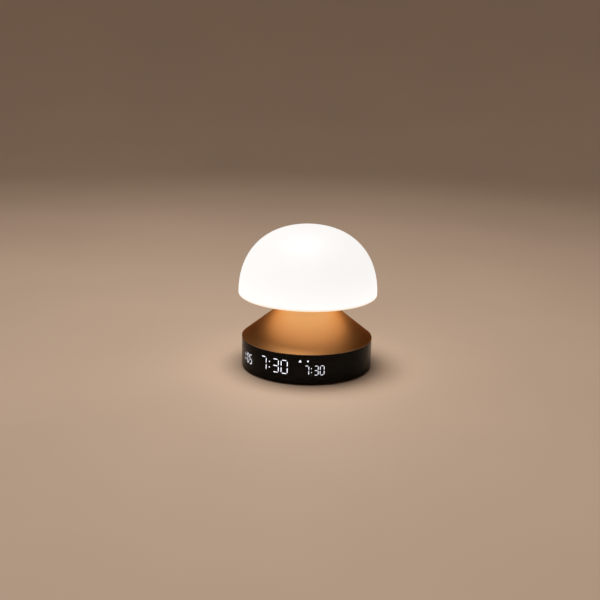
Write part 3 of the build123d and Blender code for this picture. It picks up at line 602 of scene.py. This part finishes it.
# %% [markdown]
# ## Digits
#
# Seven bars in the same places make every digit, and a table says which of them are lit. The
# gaps between the bars and the width of a lens are shares of the stroke, so one recipe draws
# the large digits and the small ones. Two round dots are the colon.

# %% Digits
gap_share = 0.55
lens_share = 0.9
bars_of = {
    "0": "top bottom upper_left upper_right lower_left lower_right",
    "1": "upper_right lower_right",
    "3": "top middle bottom upper_right lower_right",
    "5": "top middle bottom upper_left lower_right",
    "7": "top upper_right lower_right",
    " ": "",
}


def digit(bm, character, heading, height, width, tall, stroke, lit_share):
    """Seven bars, those of the character lit, on the band at a heading."""
    side, top = (width - stroke) / 2, (tall - stroke) / 2
    level, rise = 2 * side - gap_share * stroke, top - gap_share * stroke
    bars = {
        "top": (0, top, level, False),
        "middle": (0, 0, level, False),
        "bottom": (0, -top, level, False),
        "upper_left": (-side, top / 2, rise, True),
        "upper_right": (side, top / 2, rise, True),
        "lower_left": (-side, -top / 2, rise, True),
        "lower_right": (side, -top / 2, rise, True),
    }
    on = bars_of[character].split()
    for name, (x, y, length, upright) in bars.items():
        block = flat_bar(bm, x, y, length, lens_share * stroke, upright, lens_depth)
        if name in on:
            block = slit(bm, block, (lens_share - lit_share) * stroke / 2)
        else:
            blacked(block)
        to_band(bm, block, heading, height)


print("characters in the table:", len(bars_of))

# %% Colon
dot_radius = 0.55
dot_border = 0.13
dot_rise = 0.195
dot_sides = 16


def colon(bm, heading, height, tall, stroke):
    """Two round dots between the hours and the minutes."""
    for y in (-dot_rise * tall, dot_rise * tall):
        dot = disc(bm, dot_radius * stroke, dot_sides)
        bmesh.ops.translate(bm, verts=list(dot.verts), vec=(0, y, 0))
        block = slit(bm, pushed(bm, [dot], -lens_depth), dot_border * stroke)
        to_band(bm, block, heading, height)


print("dots across, as a share of the stroke:", 2 * dot_radius)

# %% [markdown]
# ## Three displays
#
# The clock has three displays behind the band: the time in front, the alarm time on one side
# and a small third one on the other. Each has room for four digits, of which the first may stay
# dark, and the colon sits in the room between the middle two. The two small ones share their
# sizes. Offsets run along the band from the middle of the front, as arcs.

# %% Three displays
large = dict(height=15.55 * mm, width=7.1 * mm, tall=13.3 * mm, stroke=1.35 * mm)
large.update(pitch=8.4 * mm, room=5.7 * mm)
small = dict(height=13.7 * mm, width=4.5 * mm, tall=9.3 * mm, stroke=0.95 * mm)
small.update(pitch=5.35 * mm, room=3.8 * mm)
alarm_offset = 39.2 * mm
date_offset = -34.86 * mm


def display(name, shown, offset, height, width, tall, stroke, pitch, room, lit_share):
    """Four digits and a colon, in place of the plain segments of one display."""
    bm = bmesh.new()
    inner = (room + width) / 2
    for character, shift in zip(shown, (-inner - pitch, -inner, inner, inner + pitch)):
        heading = (offset + shift) / lens_face
        digit(bm, character, heading, height, width, tall, stroke, lit_share)
    colon(bm, offset / lens_face, height, tall, stroke)
    piece = finished(bm, name + "_digits", [lit, unlit], "base")
    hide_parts(name + "_segments")


display("time_display", " 730", 0, lit_share=0.49, **large)
display("alarm_display", " 730", alarm_offset, lit_share=0.46, **small)
display("date_display", " 105", date_offset, lit_share=0.75, **small)

# %% [markdown]
# ## Bell and sun
#
# Two small signs sit over the alarm time: a bell, drawn as a triangle with rounded corners, and
# a sun, a round dot. Bevelling the corners of a flat face as vertices rounds them in the plane.
# Both signs are pushed back into the mask and printed round, like the digits.

# %% Bell and sun
icon_height = 22.2 * mm
bell_size, bell_offset, bell_border = 3.1 * mm, 29.1 * mm, 0.11 * mm
sun_size, sun_offset, sun_border = 2.1 * mm, 35.9 * mm, 0.33 * mm
bell_reach, bell_squeeze, bell_drop, bell_rounding = 0.6, 0.95, 0.1, 0.2


def bell(bm, size, depth):
    """A bell in an empty bmesh, as a block with its front at z = 0."""
    corners = list(disc(bm, bell_reach * size, 3).verts)
    bmesh.ops.scale(bm, verts=corners, vec=(1, bell_squeeze, 1))
    bmesh.ops.translate(bm, verts=corners, vec=(0, -bell_drop * size, 0))
    rounding = dict(offset=bell_rounding * size, segments=4, profile=0.5, affect="VERTICES")
    bmesh.ops.bevel(bm, geom=corners, material=-1, **rounding)
    return pushed(bm, bm.faces[:], -depth)


def alarm_signs():
    """The lit bell and sun on one piece."""
    bm = bmesh.new()
    drawn = slit(bm, bell(bm, bell_size, lens_depth), bell_border)
    to_band(bm, drawn, bell_offset / lens_face, icon_height)
    sun = pushed(bm, [disc(bm, sun_size / 2)], -lens_depth)
    to_band(bm, slit(bm, sun, sun_border), sun_offset / lens_face, icon_height)
    return bm


signs = finished(alarm_signs(), "alarm_signs", [lit, unlit], "base")
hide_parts("alarm_display_icons")

# %% [markdown]
# ## Signs on the rear keys
#
# Real keys like these are moulded in two shots: the sign is white plastic that comes through
# the black cap, so it never wears off. Each sign is a thin flat drawing that sits in the cap's
# face and rides on its key, so it moves when the key is pressed.

# %% A plus and rays
sign_size = 2.2 * mm
sign_stroke = 0.34 * mm
sign_depth = 0.12 * mm
ray_count, ray_start = 8, 0.3


def cross(bm, size, stroke):
    """The five faces of a flat plus sign: a grid of nine without its corners."""
    grid = bmesh.ops.create_grid(bm, x_segments=3, y_segments=3, size=size / 2)["verts"]
    for vert in grid:
        for axis in (0, 1):
            if abs(vert.co[axis]) < size / 3:
                vert.co[axis] *= 3 * stroke / size
    faces = {face for vert in grid for face in vert.link_faces}
    corners = [face for face in faces if min(map(abs, face.calc_center_median()[:2])) > stroke / 2]
    bmesh.ops.delete(bm, geom=corners, context="FACES")
    return list(faces - set(corners))


def rays(bm, near, far):
    """Short bars that point outwards all round. Gives their vertices."""
    verts = []
    for step in range(ray_count):
        turn = Matrix.Rotation(2 * pi * step / ray_count, 3, "Z")
        bar = flat_bar(bm, 0, (near + far) / 2, far - near, sign_stroke, True, sign_depth)
        bmesh.ops.rotate(bm, verts=bar, cent=(0, 0, 0), matrix=turn)
        verts += bar
    return verts


print("rays of the sun:", ray_count)

# %% Signs on the rear keys
key_face = 60.43 * mm
key_height = 19.5 * mm
key_pitch = 9.0 * mm
sun_share = 0.2
alarm_share = 0.9
sound_bars = ((-0.3, 0.35), (-0.1, 0.7), (0.1, 1.0), (0.3, 0.55))
keys = ("light", "minus", "alarm", "plus", "sound")


def sign(bm, key):
    """The flat drawing of one key's sign."""
    if key == "light":
        sun = pushed(bm, [disc(bm, sun_share * sign_size)], -sign_depth)
        return sun + rays(bm, ray_start * sign_size, sign_size / 2)
    if key == "minus":
        return flat_bar(bm, 0, 0, sign_size, sign_stroke, False, sign_depth)
    if key == "alarm":
        return bell(bm, alarm_share * sign_size, sign_depth)
    if key == "plus":
        return pushed(bm, cross(bm, sign_size, sign_stroke), -sign_depth)
    found = []
    for x, tall in sound_bars:
        found += flat_bar(bm, x * sign_size, 0, tall * sign_size, sign_stroke, True, sign_depth)
    return found


for number, key in enumerate(keys):
    x = (number - keys.index("alarm")) * key_pitch
    bm = bmesh.new()
    to_band(bm, sign(bm, key), pi - asin(x / key_face), key_height, key_face)
    piece = finished(bm, key + "_sign", [finishes["plunger_white"]], key + "_key")

# %% [markdown]
# ## Base screws
#
# Four long screws hold the base together from below. The cross recess of a head starts as a
# plus sign: its outline is drawn out as walls, bridged to a circle, and then the circle grows
# into the rounded head, the shank and the rings of its thread. A screw is drawn once, standing
# on its head at the origin, and copied to its places.

# %% Base screw
head_radius = 2.5 * mm
head_height = 2.0 * mm
head_sides = 24
head_flat = 0.8
head_rings = ((1.15, 0.12), (1.087, 0.3), (1.0, 0.58))
recess_size = 2.6 * mm
recess_stroke = 0.6 * mm
recess_depth = 1.1 * mm
shank_radius = 1.5 * mm
shank_length = 27.0 * mm
thread_pitch = 0.9 * mm
thread_depth = 0.86
tip_length, tip_share = 1.0 * mm, 0.4


def grown(bm, edges, scale, rise):
    """Extrude a ring of edges, scale it about the Z axis and raise it. Gives the new ring."""
    new = bmesh.ops.extrude_edge_only(bm, edges=edges)["geom"]
    verts = [part for part in new if isinstance(part, bmesh.types.BMVert)]
    bmesh.ops.scale(bm, verts=verts, vec=(scale, scale, 1))
    bmesh.ops.translate(bm, verts=verts, vec=(0, 0, rise))
    found = [part for part in new if isinstance(part, bmesh.types.BMEdge)]
    return [edge for edge in found if all(vert in verts for vert in edge.verts)]


def base_screw(bm):
    """One pan-head screw that stands on its head at the origin."""
    recess = cross(bm, recess_size, recess_stroke)
    bmesh.ops.translate(bm, verts=bm.verts, vec=(0, 0, recess_depth))
    edges = {edge for face in recess for edge in face.edges}
    outline = [edge for edge in edges if edge.is_boundary]
    lip = grown(bm, outline, 1, -recess_depth)
    bmesh.ops.subdivide_edges(bm, edges=lip, cuts=1)
    lip = [edge for edge in bm.edges if edge.is_boundary]
    flat = head_flat * head_radius
    circle = bmesh.ops.create_circle(bm, segments=head_sides, radius=flat)["verts"]
    ring = list({edge for vert in circle for edge in vert.link_edges})
    bmesh.ops.bridge_loops(bm, edges=lip + ring)
    for scale, rise in head_rings:
        ring = grown(bm, ring, scale, rise * head_height)
    ring = grown(bm, ring, shank_radius / head_radius, 0)
    turns = int(shank_length / thread_pitch) - 2
    ring = grown(bm, ring, 1, shank_length - turns * thread_pitch - tip_length)
    for turn in range(turns):
        ring = grown(bm, ring, thread_depth, thread_pitch / 2)
        ring = grown(bm, ring, 1 / thread_depth, thread_pitch / 2)
    bmesh.ops.contextual_create(bm, geom=grown(bm, ring, tip_share, tip_length))


print("screw in mm:", round((head_height + shank_length) / mm, 1))

# %% Four base screws
screw_circle = 47.0 * mm
screw_headings = [radians(angle) for angle in (55, 125, 235, 305)]
head_low = 3.6 * mm


def base_screws():
    """The screw, copied to its four places. The first screw itself takes the last place."""
    bm = bmesh.new()
    base_screw(bm)
    whole = bm.verts[:] + bm.edges[:] + bm.faces[:]
    first = bm.verts[:]
    for heading in screw_headings:
        place = Vector((screw_circle * sin(heading), -screw_circle * cos(heading), head_low))
        if heading == screw_headings[-1]:
            bmesh.ops.translate(bm, verts=first, vec=place)
        else:
            copied = bmesh.ops.duplicate(bm, geom=whole)["geom"]
            copies = [part for part in copied if isinstance(part, bmesh.types.BMVert)]
            bmesh.ops.translate(bm, verts=copies, vec=place)
    return bm


screws = finished(base_screws(), "cross_head_screws", [finishes["screw_steel"]], "base", True)
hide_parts("base_screws")

# %% [markdown]
# ## Rubber feet
#
# A foot is a soft moulded disc. Its lower edge is rounded, so that it doesn't catch, and its
# middle is dished, so that it grips like a shallow cup. It is drawn once and spun round the
# base in three copies.

# %% Rubber feet
foot_circle = 51.0 * mm
foot_radius = 5.0 * mm
foot_height = 2.4 * mm
foot_round = 0.7 * mm
foot_rim = 1.1 * mm
foot_dish = 0.25 * mm
foot_sides = 40
foot_steps = 4


def rubber_feet():
    """Four feet, one to each side."""
    bm = bmesh.new()
    pad = disc(bm, foot_radius - foot_round, foot_sides)
    ring, reach = list(pad.edges), foot_radius - foot_round
    for step in range(1, foot_steps + 1):
        turn = step / foot_steps * pi / 2
        wider = foot_radius - foot_round * (1 - sin(turn))
        rise = foot_round * (cos(turn - pi / 2 / foot_steps) - cos(turn))
        ring, reach = grown(bm, ring, wider / reach, rise), wider
    ring = grown(bm, ring, 1, foot_height - foot_round)
    bmesh.ops.contextual_create(bm, geom=ring)
    bmesh.ops.inset_region(bm, faces=[pad], thickness=foot_rim)
    bmesh.ops.translate(bm, verts=pad.verts, vec=(0, 0, foot_dish))
    bmesh.ops.translate(bm, verts=bm.verts, vec=(0, -foot_circle, 0))
    whole = bm.verts[:] + bm.edges[:] + bm.faces[:]
    around = dict(cent=(0, 0, 0), axis=(0, 0, 1), angle=1.5 * pi, steps=3, use_duplicate=True)
    bmesh.ops.spin(bm, geom=whole, **around)
    return bm


feet = finished(rubber_feet(), "round_feet", [finishes["foot_rubber"]], "base", True)
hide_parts("rubber_feet")

# %% [markdown]
# ## Return spring
#
# The dome stands on a coil spring in the neck, which lifts it again after a press. Its end
# coils lie closed, so that they sit flat, and the coils between them are open. A coil is a
# round section spun about the axis with a small rise at each step.

# %% Return spring
spring_low, spring_high = 42.0 * mm, 60.0 * mm
spring_radius = 15.2 * mm
spring_wire = 1.0 * mm
spring_seat = 0.03 * mm
wire_sides = 12
closed_turns = 0.75
open_turns = 3.5
steps_a_turn = 36


def coiled(bm, section, turns, pitch):
    """Spin a section onwards along a helix. Gives the section at the end."""
    steps = round(turns * steps_a_turn)
    rise = (0, 0, pitch * turns / steps)
    around = dict(cent=(0, 0, 0), axis=(0, 0, 1), angle=2 * pi * turns, steps=steps, dvec=rise)
    return bmesh.ops.spin(bm, geom=section, **around)["geom_last"]


def return_spring():
    """The whole spring: closed end, open coils, closed end."""
    bm = bmesh.new()
    section = disc(bm, spring_wire / 2, wire_sides)
    first = list(section.verts)
    low = spring_low + spring_wire / 2 + spring_seat
    upright = Matrix.Translation((spring_radius, 0, low)) @ Matrix.Rotation(pi / 2, 4, "X")
    bmesh.ops.transform(bm, verts=first, matrix=upright)
    reach = spring_high - spring_low - spring_wire - 2 * spring_seat
    open_pitch = (reach - 2 * closed_turns * spring_wire) / open_turns
    end = coiled(bm, first + list(section.edges) + [section], closed_turns, spring_wire)
    end = coiled(bm, end, open_turns, open_pitch)
    coiled(bm, end, closed_turns, spring_wire)
    return bm


spring = finished(return_spring(), "return_spring", [finishes["spring_steel"]], "dome", True)
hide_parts("dome_spring")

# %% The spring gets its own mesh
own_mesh(spring)

# %% [markdown]
# ## Dress the frame
#
# Each solid of the frame has a slot named in the record. The finish of the same name goes into
# every material slot of its object, apart from the dome's floor, which has its own.

# %% Dress the frame
slot_of = {row["node"]: row["material_slot"] for row in frame["record"]["subparts"]}
for name, node in frame["nodes"].items():
    for slot in node.material_slots:
        slot.material = underside if name == "dome_floor" else finishes[slot_of[name]]
print("dressed:", len(slot_of))
